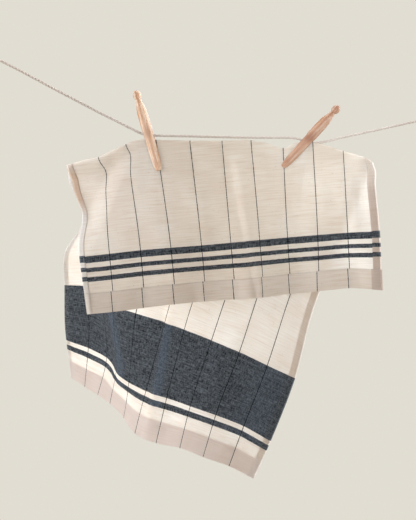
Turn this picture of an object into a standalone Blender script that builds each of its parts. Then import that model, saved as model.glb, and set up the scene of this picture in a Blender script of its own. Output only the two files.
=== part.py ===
"""A cotton tea towel folded over and held on a taut twisted line by two round-headed wooden pegs.

Millimetres in the tables, metres in the scene. +X runs along the line to the right, +Y goes away
from the viewer, +Z is up. The origin is the eye of the loop at the line's left end. The short flap
hangs in front, and the long one behind it, its left side carried back as by a light breeze.
"""

import math

import bmesh
import bpy
import numpy as np
from mathutils import Matrix, Vector

MM = 0.001

# The towel as it is cut, and its cloth.
TOWEL_WIDTH = 450
TOWEL_LENGTH = 700
CLOTH_THICKNESS = 1.0
HEM_THICKNESS = 1.8
END_HEM = 29  # depth of the hem turned up at each end
SIDE_HEM = 8  # width of the narrow hem down each side
HEM_STEP = 1.5  # the cloth drops to its single thickness within this distance of a hem
HEM_LINES = 2  # grid lines that lie in each hem

# Distances along the cloth from its lower end to the woven lines that shape each flap.
STRIPES_UP = 82  # front end to the top of the three stripes
FOOT_UP = 62  # back end to the lower edge of the wide band
BAND_UP = 164  # back end to the upper edge of the wide band

# How finely the cloth is divided.
ACROSS_STEPS = 36
FRONT_STEPS = 12
FOLD_STEPS = 6
BACK_STEPS = 24

# The rounded fold along the top, a row for each place along it: how far across the cloth, where the
# top of the cloth is, the radius that the cloth turns on, and how far back its middle lies.
FOLD_COLUMNS = ("across", "x", "z", "radius", "y")
FOLD_ROWS = (
    (0, 135.0, -170.6, 14.0, 10.0),
    (22, 158.1, -163.6, 12.0, 8.0),
    (45, 181.1, -158.6, 8.5, 5.0),
    (68, 200.6, -149.9, 5.5, 2.5),
    (90, 221.4, -140.6, 2.8, 0.8),
    (108, 237.3, -134.6, 1.2, 0.0),
    (126, 256.0, -133.6, 0.9, 0.0),
    (135, 264.6, -134.4, 1.0, 0.0),
    (157, 287.7, -135.2, 2.2, 0.0),
    (180, 313.6, -135.8, 3.0, 0.0),
    (225, 359.7, -135.8, 3.4, 0.0),
    (270, 401.4, -135.2, 3.0, 0.0),
    (292, 424.5, -139.6, 2.4, 0.0),
    (315, 447.5, -145.9, 1.8, -0.4),
    (335, 467.0, -138.6, 0.8, -2.0),
    (348, 479.0, -137.0, 0.7, -2.1),
    (360, 490.0, -137.0, 0.7, -2.1),
    (372, 502.2, -140.9, 0.9, -3.0),
    (388, 518.0, -145.6, 1.6, -1.6),
    (405, 533.9, -150.6, 2.4, 0.0),
    (428, 553.6, -156.4, 2.8, 0.0),
    (442, 568.0, -161.6, 2.8, 0.0),
    (450, 577.0, -168.6, 2.6, 0.0),
)

# The front flap, a row for each woven pinstripe and edge: where the top stripe and the end hem lie.
FRONT_COLUMNS = ("across", "stripe_x", "stripe_z", "hem_x", "hem_z", "hem_y")
FRONT_ROWS = (
    (0, 154.2, -303.5, 166.7, -385.2, -7.0),
    (45, 198.0, -298.8, 205.6, -381.3, -9.0),
    (90, 242.5, -293.7, 249.4, -375.8, -5.0),
    (135, 286.2, -290.1, 294.0, -370.5, -8.0),
    (180, 330.2, -286.7, 337.2, -366.4, -5.0),
    (225, 372.4, -282.9, 379.5, -363.6, -9.0),
    (250, 395.0, -281.0, 403.0, -362.4, -14.0),
    (270, 413.0, -279.2, 418.3, -360.7, -9.0),
    (315, 453.7, -275.3, 458.8, -355.6, -5.0),
    (360, 497.1, -271.8, 498.9, -352.0, -7.0),
    (405, 540.5, -268.4, 544.3, -347.7, -4.0),
    (450, 586.3, -266.5, 588.6, -350.6, -7.0),
)
STRIPE_LEAN = 0.5  # the share of the hem's forward lean that the cloth has at the stripes

# Soft folds in the front flap: where each is centred on the cloth, its reach both ways, and how far
# it carries the cloth sideways and back.
BOW_COLUMNS = ("across", "up", "reach_across", "reach_up", "shift_x", "shift_y")
BOW_ROWS = (
    (0, 146, 34, 34, 12.5, 14.0),
    (45, 200, 26, 24, 8.5, -5.0),
    (90, 218, 22, 14, 4.5, 0.0),
    (450, 172, 20, 16, 3.0, 0.0),
)
BOW_FADE = 22  # a bow dies out over this distance below the fold

# The back flap, a row for each woven pinstripe and edge. Between the fold and the wide band it is
# told as how far the cloth strays sideways from a straight run, and how far back it lies.
BACK_COLUMNS = (
    "across",
    "upper_shift", "upper_y",
    "middle_shift", "middle_y",
    "band_x", "band_y", "band_z",
    "foot_x", "foot_y", "foot_z",
    "hem_x", "hem_y", "hem_z",
)
BACK_ROWS = (
    (0, 27, 72, -2, 116, 113.3, 148, -347.2, 111.2, 188, -436.5, 117.2, 203, -497.3),
    (45, 10, 42, -2, 92, 153.4, 130, -348.7, 148.6, 171, -447.7, 141.6, 185, -511.4),
    (90, 4, 17, 0, 62, 176.7, 107, -361.2, 180.5, 149, -461.2, 164.9, 160, -521.2),
    (135, 1, 8, 0, 38, 198.7, 82, -375.5, 197.9, 119, -479.9, 187.6, 128, -531.3),
    (180, 0, 8, 0, 26, 231.5, 60, -387.3, 219.5, 88, -493.5, 210.8, 96, -548.6),
    (225, 0, 9, -3, 22, 276.5, 50, -399.9, 246.3, 62, -503.3, 230.2, 64, -567.2),
    (270, 0, 8, -3, 17, 304.8, 33, -409.7, 279.1, 44, -511.6, 263.3, 44, -578.2),
    (315, 0, 7, -3, 13, 344.6, 23, -424.8, 313.5, 30, -522.0, 298.5, 29, -583.0),
    (360, 0, 7, -2, 11, 385.2, 17, -441.4, 350.9, 22, -533.7, 332.2, 22, -595.0),
    (405, -2, 8, -3, 11, 425.6, 14, -460.4, 391.6, 20, -549.7, 370.2, 26, -608.9),
    (450, -7, 9, -9, 12, 466.2, 14, -479.5, 431.4, 24, -572.0, 407.2, 36, -629.9),
)
UPPER_SHARE = 0.35  # how far down from the fold to the band the upper level lies
MIDDLE_SHARE = 0.7

# The line: its route through the pegs, as measured along it.
LINE_DIAMETER = 3.8
LINE_LAY = 16  # one full turn of its three strands
STRANDS = 3
STRAND_GROOVE = 0.78  # the radius in the groove between strands, as a share of the full radius
RINGS_A_TURN = 8
LINE_COLUMNS = ("x", "y", "z")
LINE_ROWS = (
    (30.0, 0.0, -15.1),
    (40.0, 0.0, -20.1),
    (68.0, 0.0, -34.4),
    (97.6, 0.0, -50.1),
    (125.0, 0.0, -64.8),
    (152.8, 0.0, -79.4),
    (180.3, 0.0, -93.8),
    (211.5, 0.0, -109.4),
    (232.0, 0.0, -119.8),
    (244.5, 0.0, -125.6),
    (254.0, 0.0, -127.8),
    (264.0, 0.0, -128.2),
    (308.8, 0.0, -129.0),
    (345.0, 0.0, -129.9),
    (385.6, 0.0, -130.7),
    (420.0, 0.0, -131.0),
    (450.0, 0.3, -131.1),
    (466.0, 1.1, -131.9),
    (475.0, 1.4, -134.4),
    (484.0, 1.4, -138.0),
    (493.0, 1.4, -139.2),
    (503.0, 1.2, -138.0),
    (528.0, 0.3, -132.0),
    (563.9, 0.0, -124.2),
    (600.0, 0.0, -116.3),
    (639.0, 0.0, -107.6),
    (650.0, 0.0, -105.1),
)

# The pegs, each turned from one stick and then slotted. Distances run down from the top of the head.
PEG_LENGTH = 121
PEG_STEPS = 20
HEAD_RADIUS = 5.5
HEAD_LENGTH = 14
HEAD_ARC = 0.86  # the share of a half circle that the head's outline turns through
HEAD_STEPS = 7
PEG_COLUMNS = ("down", "radius")
PEG_ROWS = (
    (15.5, 3.6),
    (18.5, 3.9),
    (23.0, 5.3),
    (29.0, 6.7),
    (37.0, 7.3),
    (60.0, 7.5),
    (92.0, 7.4),
    (108.0, 6.9),
    (115.0, 6.1),
    (119.0, 4.6),
)
SLOT_CROTCH = 59.5  # the slot starts this far down
SLOT_PAST = 5  # how far the slot's cutter runs past the wood
PEG_PLACE_COLUMNS = ("name", "x", "z", "lean", "slot_top", "slot_tip")
PEG_PLACES = (
    ("left_peg", 252.3, -121.4, 16.4, 4.7, 7.4),
    ("right_peg", 487.4, -130.1, -42.6, 7.2, 8.0),
)

# The loop that the line ends in, both ends alike: a barrel of round turns, and an eye of bare line.
KNOT_GAP = 0.3  # between the end of the line and the knot
KNOT_LENGTH = 12
KNOT_RADIUS = 4.6
KNOT_TURNS = 3
KNOT_STEPS_A_TURN = 4
KNOT_SIDES = 14
KNOT_GROOVE = 0.8  # the radius between two turns, as a share of the radius on a turn
KNOT_TAPER = 0.25  # how much of its radius the barrel loses towards its ends
EYE_LENGTH = 32
EYE_WIDTH = 9
EYE_STEPS = 20
EYE_TEAR = 0.8  # how far the eye's widest place is pushed away from the knot
EYE_ROOT = 4  # how far the eye reaches back into the knot
WELD = 0.000001

COTTON = (0.80, 0.74, 0.64, 1.0)
LINE_COTTON = (0.66, 0.62, 0.56, 1.0)
PEG_WOOD = (0.62, 0.40, 0.24, 1.0)


def column(names, rows, name):
    return np.array([row[names.index(name)] for row in rows], dtype=float)


def slopes_at(knots, values):
    """The slope at each knot of a smooth curve through the values, from its two neighbours."""
    knots, values = np.asarray(knots, float), np.asarray(values, float)
    steps = np.diff(knots).reshape(-1, *[1] * (values.ndim - 1))
    runs = np.diff(values, axis=0) / steps
    inner = (runs[:-1] * steps[1:] + runs[1:] * steps[:-1]) / (steps[1:] + steps[:-1])
    return np.concatenate([runs[:1], inner, runs[-1:]])


def smooth(knots, values, at, slopes=None):
    """Values of a smooth curve, a cubic between each pair of knots, at the places asked for."""
    knots, values = np.asarray(knots, float), np.asarray(values, float)
    slopes = slopes_at(knots, values) if slopes is None else slopes
    at = np.clip(np.asarray(at, float), knots[0], knots[-1])
    i = np.clip(np.searchsorted(knots, at, side="right") - 1, 0, len(knots) - 2)
    span = knots[i + 1] - knots[i]
    t = (at - knots[i]) / span
    if values.ndim > 1:
        span, t = span[:, None], t[:, None]
    return (
        (1 + 2 * t) * (1 - t) ** 2 * values[i]
        + t * (1 - t) ** 2 * span * slopes[i]
        + t**2 * (3 - 2 * t) * values[i + 1]
        - t**2 * (1 - t) * span * slopes[i + 1]
    )


def read_across(names, rows, across):
    """Every column of a table, read smoothly at one distance across the cloth."""
    knots = column(names, rows, names[0])
    return {
        name: float(smooth(knots, column(names, rows, name), [across])[0]) for name in names[1:]
    }


def front_bow(across, up, front_length):
    """How far the soft folds carry a point of the front flap."""
    shift = np.zeros(3)
    for row in BOW_ROWS:
        bow = dict(zip(BOW_COLUMNS, row))
        far = ((across - bow["across"]) / bow["reach_across"]) ** 2
        far += ((up - bow["up"]) / bow["reach_up"]) ** 2
        shift += math.exp(-far) * np.array([bow["shift_x"], bow["shift_y"], 0])
    fade = min(max((front_length - up) / BOW_FADE, 0), 1)
    return shift * fade * fade * (3 - 2 * fade)


def warp_line(across):
    """One thread of the cloth, from the front end over the fold to the back end, in millimetres."""
    fold = read_across(FOLD_COLUMNS, FOLD_ROWS, across)
    front = read_across(FRONT_COLUMNS, FRONT_ROWS, across)
    back = read_across(BACK_COLUMNS, BACK_ROWS, across)
    top = np.array([fold["x"], fold["y"], fold["z"] - fold["radius"]])
    reach = np.array([0, fold["radius"], 0])
    up = np.array([0, 0, 1])

    front_points = np.array([
        (front["hem_x"], front["hem_y"], front["hem_z"]),
        (front["stripe_x"], front["hem_y"] * STRIPE_LEAN, front["stripe_z"]),
        top - reach,
    ])
    front_run = STRIPES_UP + np.linalg.norm(front_points[2] - front_points[1])
    front_knots = [0, STRIPES_UP, front_run]
    slopes = slopes_at(front_knots, front_points)
    slopes[-1, 1:] = up[1:]
    ups = np.concatenate([
        [0, END_HEM],
        np.linspace(END_HEM + HEM_STEP, front_run, FRONT_STEPS),
    ])
    rows = list(smooth(front_knots, front_points, ups, slopes))
    rows = [point + front_bow(across, rise, front_run) for point, rise in zip(rows, ups)]

    for step in range(1, FOLD_STEPS):
        turn = math.pi * step / FOLD_STEPS
        rows.append(top - reach * math.cos(turn) + up * fold["radius"] * math.sin(turn))

    start = top + reach
    band = np.array([back["band_x"], back["band_y"], back["band_z"]])
    upper = start + (band - start) * UPPER_SHARE
    upper[:2] = upper[0] + back["upper_shift"], back["upper_y"]
    middle = start + (band - start) * MIDDLE_SHARE
    middle[:2] = middle[0] + back["middle_shift"], back["middle_y"]
    back_points = np.array([
        start,
        upper,
        middle,
        band,
        (back["foot_x"], back["foot_y"], back["foot_z"]),
        (back["hem_x"], back["hem_y"], back["hem_z"]),
    ])
    back_run = TOWEL_LENGTH - front_run - math.pi * fold["radius"]
    run_to_band = back_run - BAND_UP
    back_knots = [0, UPPER_SHARE * run_to_band, MIDDLE_SHARE * run_to_band, run_to_band]
    back_knots += [back_run - FOOT_UP, back_run]
    slopes = slopes_at(back_knots, back_points)
    slopes[0, 1:] = -up[1:]
    downs = np.concatenate([
        np.linspace(0, back_run - END_HEM - HEM_STEP, BACK_STEPS),
        [back_run - END_HEM, back_run],
    ])
    rows.extend(smooth(back_knots, back_points, downs, slopes))
    return np.array(rows)


def add_material(name, colour, roughness):
    material = bpy.data.materials.new(name)
    material.use_nodes = True
    shader = material.node_tree.nodes["Principled BSDF"]
    shader.inputs["Base Color"].default_value = colour
    shader.inputs["Roughness"].default_value = roughness
    shader.inputs["Metallic"].default_value = 0
    material.diffuse_color = colour
    return material


def add_object(name, data, home, material):
    obj = bpy.data.objects.new(name, data)
    home.objects.link(obj)
    if material:
        data.materials.append(material)
    return obj


def make_towel(home, material):
    """The cloth: an open surface through the warp threads, thickened evenly to both sides."""
    inside = SIDE_HEM + HEM_STEP
    stations = np.concatenate([
        [0, SIDE_HEM],
        np.linspace(inside, TOWEL_WIDTH - inside, ACROSS_STEPS - 1),
        [TOWEL_WIDTH - SIDE_HEM, TOWEL_WIDTH],
    ])
    lines = [warp_line(across) for across in stations]
    last = len(lines[0]) - 1
    mesh = bpy.data.meshes.new("towel")
    work = bmesh.new()
    points = [[work.verts.new(Vector(p) * MM) for p in line] for line in lines]
    for left, right in zip(points, points[1:]):
        for i in range(last):
            work.faces.new((left[i], right[i], right[i + 1], left[i + 1]))
    work.to_mesh(mesh)
    work.free()
    towel = add_object("towel", mesh, home, material)

    hems = towel.vertex_groups.new(name="hems")
    for s in range(len(lines)):
        from_side = min(s, len(lines) - 1 - s)
        for i in range(last + 1):
            from_edge = min(from_side, i, last - i)
            weight = 1.0 if from_edge < HEM_LINES else 0.0
            hems.add([s * (last + 1) + i], weight, "REPLACE")
    solid = towel.modifiers.new("cloth thickness", "SOLIDIFY")
    solid.thickness = HEM_THICKNESS * MM
    solid.offset = 0
    solid.vertex_group = hems.name
    solid.thickness_vertex_group = CLOTH_THICKNESS / HEM_THICKNESS
    mesh.shade_smooth()
    return towel


def line_route():
    """Even steps along the smooth route of the line, as many as its lay needs."""
    points = np.stack([column(LINE_COLUMNS, LINE_ROWS, axis) for axis in "xyz"], axis=1)
    knots = np.concatenate([[0], np.cumsum(np.linalg.norm(np.diff(points, axis=0), axis=1))])
    rings = round(knots[-1] / LINE_LAY * RINGS_A_TURN)
    return smooth(knots, points, np.linspace(0, knots[-1], rings + 1))


def make_line(home, guides, material):
    """The twisted line: a three-lobed section carried along the route and turned once in each lay."""
    section = bpy.data.curves.new("strand section", "CURVE")
    section.dimensions = "2D"
    outline = section.splines.new("POLY")
    outline.points.add(2 * STRANDS - 1)
    radius = LINE_DIAMETER / 2 * MM
    for i, point in enumerate(outline.points):
        turn = -math.pi * i / STRANDS
        far = radius * (STRAND_GROOVE if i % 2 else 1)
        point.co = (far * math.cos(turn), far * math.sin(turn), 0, 1)
    outline.use_cyclic_u = True
    guide = add_object("strand_section", section, guides, None)
    guide.hide_render = True

    curve = bpy.data.curves.new("clothesline", "CURVE")
    curve.dimensions = "3D"
    curve.twist_mode = "MINIMUM"
    curve.bevel_mode = "OBJECT"
    curve.bevel_object = guide
    curve.use_fill_caps = True
    route = line_route()
    spline = curve.splines.new("POLY")
    spline.points.add(len(route) - 1)
    for i, place in enumerate(route):
        spline.points[i].co = (*(place * MM), 1)
        spline.points[i].tilt = 2 * math.pi * i / RINGS_A_TURN
    return add_object("clothesline", curve, home, material)


def peg_profile():
    """Down the outer side of the peg: the round head, the neck, the body and the rounded tip."""
    points = [(0, 0)]
    for step in range(1, HEAD_STEPS + 1):
        turn = math.pi * HEAD_ARC * step / HEAD_STEPS
        points.append((HEAD_LENGTH / 2 * (1 - math.cos(turn)), HEAD_RADIUS * math.sin(turn)))
    points.extend(zip(column(PEG_COLUMNS, PEG_ROWS, "down"), column(PEG_COLUMNS, PEG_ROWS, "radius")))
    points.append((PEG_LENGTH, 0))
    return points


def make_peg(place, home, cutters, material):
    """One peg: a turned stick with a slot that opens towards its tip, leaning in its line's plane."""
    mesh = bpy.data.meshes.new(place["name"])
    work = bmesh.new()
    middle = PEG_LENGTH / 2
    points = [work.verts.new((r * MM, 0, (middle - down) * MM)) for down, r in peg_profile()]
    for first, second in zip(points, points[1:]):
        work.edges.new((first, second))
    work.to_mesh(mesh)
    work.free()
    peg = add_object(place["name"], mesh, home, material)
    turned = peg.modifiers.new("turned", "SCREW")
    turned.steps = turned.render_steps = PEG_STEPS
    turned.use_merge_vertices = True
    turned.merge_threshold = WELD

    cutter_mesh = bpy.data.meshes.new(place["name"] + " slot")
    work = bmesh.new()
    bmesh.ops.create_cube(work, size=1)
    through = 2 * (max(column(PEG_COLUMNS, PEG_ROWS, "radius")) + SLOT_PAST)
    for vert in work.verts:
        wide = place["slot_top"] if vert.co.z > 0 else place["slot_tip"]
        down = SLOT_CROTCH if vert.co.z > 0 else PEG_LENGTH + SLOT_PAST
        vert.co = Vector((vert.co.x * through, vert.co.y * wide, middle - down)) * MM
    work.to_mesh(cutter_mesh)
    work.free()
    cutter = add_object(place["name"] + "_slot", cutter_mesh, cutters, None)
    cutter.hide_render = True
    cutter.display_type = "WIRE"
    for obj in (peg, cutter):
        obj.location = Vector((place["x"], 0, place["z"])) * MM
        obj.rotation_euler = (0, -math.radians(place["lean"]), 0)
    slot = peg.modifiers.new("slot", "BOOLEAN")
    slot.operation = "DIFFERENCE"
    slot.solver = "EXACT"
    slot.object = cutter
    return peg


def turned_knot(name, home, material):
    """The knot as a barrel of a few round turns, its axis along +X from its foot at zero."""
    mesh = bpy.data.meshes.new(name)
    work = bmesh.new()
    steps = KNOT_STEPS_A_TURN * KNOT_TURNS
    points = [work.verts.new((0, 0, 0))]
    for i in range(steps + 1):
        share = i / steps
        barrel = 1 - KNOT_TAPER * (2 * share - 1) ** 4
        ridge = abs(math.sin(math.pi * KNOT_TURNS * share))
        radius = KNOT_RADIUS * barrel * (KNOT_GROOVE + (1 - KNOT_GROOVE) * ridge)
        points.append(work.verts.new((KNOT_LENGTH * share * MM, radius * MM, 0)))
    points.append(work.verts.new((KNOT_LENGTH * MM, 0, 0)))
    for first, second in zip(points, points[1:]):
        work.edges.new((first, second))
    bmesh.ops.spin(
        work,
        geom=work.verts[:] + work.edges[:],
        cent=(0, 0, 0),
        axis=(1, 0, 0),
        angle=2 * math.pi,
        steps=KNOT_SIDES,
        use_merge=True,
    )
    bmesh.ops.remove_doubles(work, verts=work.verts, dist=WELD)
    bmesh.ops.recalc_face_normals(work, faces=work.faces)
    work.to_mesh(mesh)
    work.free()
    return add_object(name, mesh, home, material)


def mesh_of_curve(curve_object, name, home, material):
    """A curve's own tube as a mesh, with its caps joined on."""
    graph = bpy.context.evaluated_depsgraph_get()
    mesh = bpy.data.meshes.new_from_object(curve_object.evaluated_get(graph))
    work = bmesh.new()
    work.from_mesh(mesh)
    bmesh.ops.remove_doubles(work, verts=work.verts, dist=WELD)
    work.to_mesh(mesh)
    work.free()
    mesh.materials.clear()
    obj = add_object(name, mesh, home, material)
    obj.matrix_world = curve_object.matrix_world
    bpy.data.objects.remove(curve_object)
    return obj


def make_loop(name, end, toward, home, cutters, material):
    """A loop beyond one end of the line: the knot that closes it, and its eye of the same line."""
    knot = turned_knot(name, home, material)
    curve = bpy.data.curves.new(name + " eye", "CURVE")
    curve.dimensions = "3D"
    curve.bevel_depth = LINE_DIAMETER / 2 * MM
    curve.bevel_resolution = 2
    spline = curve.splines.new("POLY")
    spline.points.add(EYE_STEPS - 1)
    turns = 2 * math.pi * np.arange(EYE_STEPS) / EYE_STEPS
    along = KNOT_LENGTH - EYE_ROOT + EYE_LENGTH * (1 - np.cos(turns)) / 2
    swell = np.sin(turns) * (1 - EYE_TEAR * np.cos(turns))
    aside = EYE_WIDTH / 2 * swell / swell.max()
    for point, far, out in zip(spline.points, along, aside):
        point.co = (far * MM, 0, out * MM, 1)
    spline.use_cyclic_u = True
    eye = add_object(name + " eye", curve, home, None)
    bpy.context.view_layer.update()
    eye = mesh_of_curve(eye, name + "_eye", cutters, None)
    eye.hide_render = True
    eye.display_type = "WIRE"
    away = Vector(end) - Vector(toward)
    lean = math.atan2(away.z, away.x)
    place = Vector(end) + away.normalized() * KNOT_GAP
    for obj in (knot, eye):
        obj.matrix_world = Matrix.Translation(place * MM) @ Matrix.Rotation(-lean, 4, "Y")
    join = knot.modifiers.new("eye", "BOOLEAN")
    join.operation = "UNION"
    join.solver = "EXACT"
    join.object = eye
    join.use_self = True
    return knot


def main():
    for obj in list(bpy.data.objects):
        bpy.data.objects.remove(obj, do_unlink=True)
    home = bpy.data.collections.new("pegged tea towel")
    cutters = bpy.data.collections.new("cutters and guides")
    for collection in (home, cutters):
        bpy.context.scene.collection.children.link(collection)
    cotton = add_material("woven cotton", COTTON, 0.9)
    line_cotton = add_material("twisted cotton line", LINE_COTTON, 0.9)
    wood = add_material("turned beech", PEG_WOOD, 0.6)

    make_towel(home, cotton)
    make_line(home, cutters, line_cotton)
    for row in PEG_PLACES:
        make_peg(dict(zip(PEG_PLACE_COLUMNS, row)), home, cutters, wood)
    make_loop("left_loop", LINE_ROWS[0], LINE_ROWS[1], home, cutters, line_cotton)
    make_loop("right_loop", LINE_ROWS[-1], LINE_ROWS[-2], home, cutters, line_cotton)


main()
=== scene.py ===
# A cotton tea towel folded over and held on a taut twisted line by two wooden pegs,
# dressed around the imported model. Tables are in millimetres, the scene is in metres.
import math

import bmesh
import bpy
import numpy as np
from mathutils import Matrix


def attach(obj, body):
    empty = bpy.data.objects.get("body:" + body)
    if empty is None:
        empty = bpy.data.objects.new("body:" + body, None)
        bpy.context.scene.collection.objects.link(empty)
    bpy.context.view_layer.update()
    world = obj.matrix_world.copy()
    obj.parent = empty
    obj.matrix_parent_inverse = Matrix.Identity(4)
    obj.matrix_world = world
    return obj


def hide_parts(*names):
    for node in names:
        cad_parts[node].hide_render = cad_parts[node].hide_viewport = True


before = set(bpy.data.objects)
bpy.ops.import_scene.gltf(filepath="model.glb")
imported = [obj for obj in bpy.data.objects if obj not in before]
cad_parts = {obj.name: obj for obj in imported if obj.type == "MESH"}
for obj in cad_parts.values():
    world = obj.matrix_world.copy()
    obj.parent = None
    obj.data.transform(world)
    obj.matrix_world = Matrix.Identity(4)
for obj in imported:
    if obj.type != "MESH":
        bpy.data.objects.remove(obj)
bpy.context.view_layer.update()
scene = bpy.context.scene
mm = 0.001


# small helpers that everything below shares

def toLinear(hexColour):
    # an sRGB hex colour as the linear numbers that a shader takes, with alpha 1
    parts = [int(hexColour[i:i + 2], 16) / 255 for i in (1, 3, 5)]
    return tuple(c / 12.92 if c <= 0.04045 else ((c + 0.055) / 1.055) ** 2.4 for c in parts) + (1.0,)


def addNode(tree, kind, links=None, **settings):
    # one node of any kind: settings are its properties, and links its inputs, each by a value, by a
    # socket, or by a node, of which the first output in use is taken
    node = tree.nodes.new(kind)
    for name, value in settings.items():
        setattr(node, name, value)
    for key, value in (links or {}).items():
        if isinstance(value, bpy.types.Node):
            value = next(output for output in value.outputs if output.enabled)
        if isinstance(value, bpy.types.NodeSocket):
            tree.links.new(value, node.inputs[key])
        else:
            node.inputs[key].default_value = value
    return node


def newMaterial(name):
    # a node material without nodes
    material = bpy.data.materials.new(name)
    material.use_nodes = True
    material.node_tree.nodes.clear()
    return material, material.node_tree


def addObject(name, data):
    # an object in the scene
    thing = bpy.data.objects.new(name, data)
    scene.collection.objects.link(thing)
    return thing


def together(*arrays):
    # arrays side by side along a new last axis, each a number or stretched to the shape they share
    return np.stack(np.broadcast_arrays(*arrays), axis=-1)


def roundAngles(count):
    # equal steps once round, in radians
    return 2 * math.pi * np.arange(count) / count


def runAlong(path):
    # how far along a path each of its points is
    return np.concatenate([[0], np.cumsum(np.linalg.norm(np.diff(path, axis=0), axis=1))])


def unit(vectors):
    # every row scaled to length one
    return vectors / np.maximum(np.linalg.norm(vectors, axis=-1, keepdims=True), 1e-12)


def ease(low, high, values):
    # 0 below low, 1 above high, and a smooth step t*t*(3-2t) between them
    t = np.clip((values - low) / (high - low), 0, 1)
    return t * t * (3 - 2 * t)


def threePointSlopes(knots, values):
    # the slope at each knot of a smooth curve: runs either side weighted by the other side's step
    steps = np.diff(knots, axis=0)
    runs = np.diff(values, axis=0) / steps
    inner = (runs[:-1] * steps[1:] + runs[1:] * steps[:-1]) / (steps[1:] + steps[:-1])
    return np.concatenate([runs[:1], inner, runs[-1:]])


def cubicBetween(knots, values, at, slopes=None):
    # a cubic between each pair of knots, with the slopes above; knots run along the first axis, and
    # any further axes of knots and values go with those of the places asked for
    slopes = threePointSlopes(knots, values) if slopes is None else slopes
    at = np.clip(at, knots[0], knots[-1])
    piece = np.clip(sum(at >= knot for knot in knots[1:-1]).astype(int), 0, len(knots) - 2)
    def pick(table, number):
        table = np.broadcast_to(table, (len(table),) + np.broadcast_shapes(table.shape[1:], at.shape[1:]))
        return np.take_along_axis(table, number, axis=0)
    low, high = pick(knots, piece), pick(knots, piece + 1)
    span = high - low
    t = (at - low) / span
    return (
        (1 + 2 * t) * (1 - t) ** 2 * pick(values, piece)
        + t * (1 - t) ** 2 * span * pick(slopes, piece)
        + t**2 * (3 - 2 * t) * pick(values, piece + 1)
        - t**2 * (1 - t) * span * pick(slopes, piece + 1)
    )


def gridQuads(rows, columns, joinRows=False, joinColumns=False):
    # the four corner numbers of each face of a grid of points, row by row, joined round where asked
    r = np.arange(rows if joinRows else rows - 1)[:, None]
    c = np.arange(columns if joinColumns else columns - 1)[None, :]
    nextR, nextC = (r + 1) % rows, (c + 1) % columns
    corners = [r * columns + c, r * columns + nextC, nextR * columns + nextC, nextR * columns + c]
    return together(*corners).reshape(-1, 4)


def addPiece(name, points, faces, material, printAt=None):
    # a mesh piece in metres from arrays, smooth shaded, riding on the part, with a UV map where given
    mesh = bpy.data.meshes.new(name)
    mesh.from_pydata(points.tolist(), [], faces)
    mesh.materials.append(material)
    if printAt is not None:
        corner = np.empty(len(mesh.loops), np.int32)
        mesh.loops.foreach_get("vertex_index", corner)
        layer = mesh.uv_layers.new(name="cloth")
        layer.data.foreach_set("uv", printAt[corner].astype(np.float32).ravel())
    mesh.shade_smooth()
    piece = addObject(name, mesh)
    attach(piece, "root")
    return piece


def alongPath(path, radii, reference, closed=False):
    # a section carried along a path: point = centre + radius * (cos a * side + sin a * up), where side
    # is the reference direction squared to the path, and radii holds a row of radii for each centre
    ahead = np.roll(path, -1, axis=0) - np.roll(path, 1, axis=0)
    if not closed:
        ahead[0], ahead[-1] = path[1] - path[0], path[-1] - path[-2]
    ahead = unit(ahead)
    reference = np.broadcast_to(reference, path.shape)
    side = unit(reference - (reference * ahead).sum(1, keepdims=True) * ahead)
    up = np.cross(ahead, side)
    sides = radii.shape[1]
    angle = roundAngles(sides)[None, :, None]
    around = np.cos(angle) * side[:, None] + np.sin(angle) * up[:, None]
    points = (path[:, None] + radii[:, :, None] * around).reshape(-1, 3)
    faces = gridQuads(len(path), sides, joinRows=closed, joinColumns=True).tolist()
    if not closed:
        faces += [list(range(sides))[::-1], list(range(len(points) - sides, len(points)))]
    return points, faces


# camera: level, straight in front of the towel, where 1.6 m away the view is 0.7488 m high
print("camera and light")
cameraLook = {"place": (0.3395, -1.6, -0.3074), "viewHeight": 0.7488, "sensor": 36.0}
camera = addObject("camera", bpy.data.cameras.new("camera"))
camera.data.sensor_width = cameraLook["sensor"]
camera.data.lens = cameraLook["sensor"] * -cameraLook["place"][1] / cameraLook["viewHeight"]
camera.location = cameraLook["place"]
camera.rotation_euler = (math.pi / 2, 0, 0)
scene.camera = camera
scene.view_settings.view_transform = "Standard"

lightLook = {
    "backdrop": "#E1DDD2",  # what the camera sees behind the towel
    "ambient": "#FFF7EC",  # the studio's own light, from all sides
    "ambientStrength": 0.28,
    "floorDrop": 1.15, "floorRadius": 1.3, "floorSides": 96, "floorPaint": "#A7A49C",
    "spotRadius": 0.12,
    # name, kind, its place and what it shines at, both from the view's middle, the angle of a sun or
    # a spot's cone in degrees, power, colour
    "lamps": [
        ("window behind right", "SUN", (0.92, 0.40, 0.44), (0, 0, 0), 50, 1.5, "#F8FBFF"),
        ("sky behind", "SUN", (0.25, 1.0, 0.25), (0, 0, 0), 60, 2.45, "#D2E6FF"),
        ("window left", "SUN", (-0.92, -0.34, 0.28), (0, 0, 0), 40, 2.35, "#F4F8FF"),
        ("edge light on the right", "SUN", (0.95, 0.02, 0.08), (0, 0, 0), 12, 2.4, "#FAFCFF"),
        ("top", "SUN", (0.2, 0.35, 1.6), (0, 0, 0), 30, 2.4, "#FAFCFF"),
        ("soft front", "SUN", (0.1, -1.6, -0.7), (0, 0, 0), 60, 1.25, "#FFFAF4"),
        ("light on the right third", "SPOT", (0.36, -1.3, 0.35), (0.19, 0, 0.12), 15, 52, "#E2F1FF"),
        ("light on the left corner", "SPOT", (-0.6, -1.2, 0.2), (-0.152, 0, 0.085), 9.5, 56, "#C6DFFF"),
    ],
}


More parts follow.
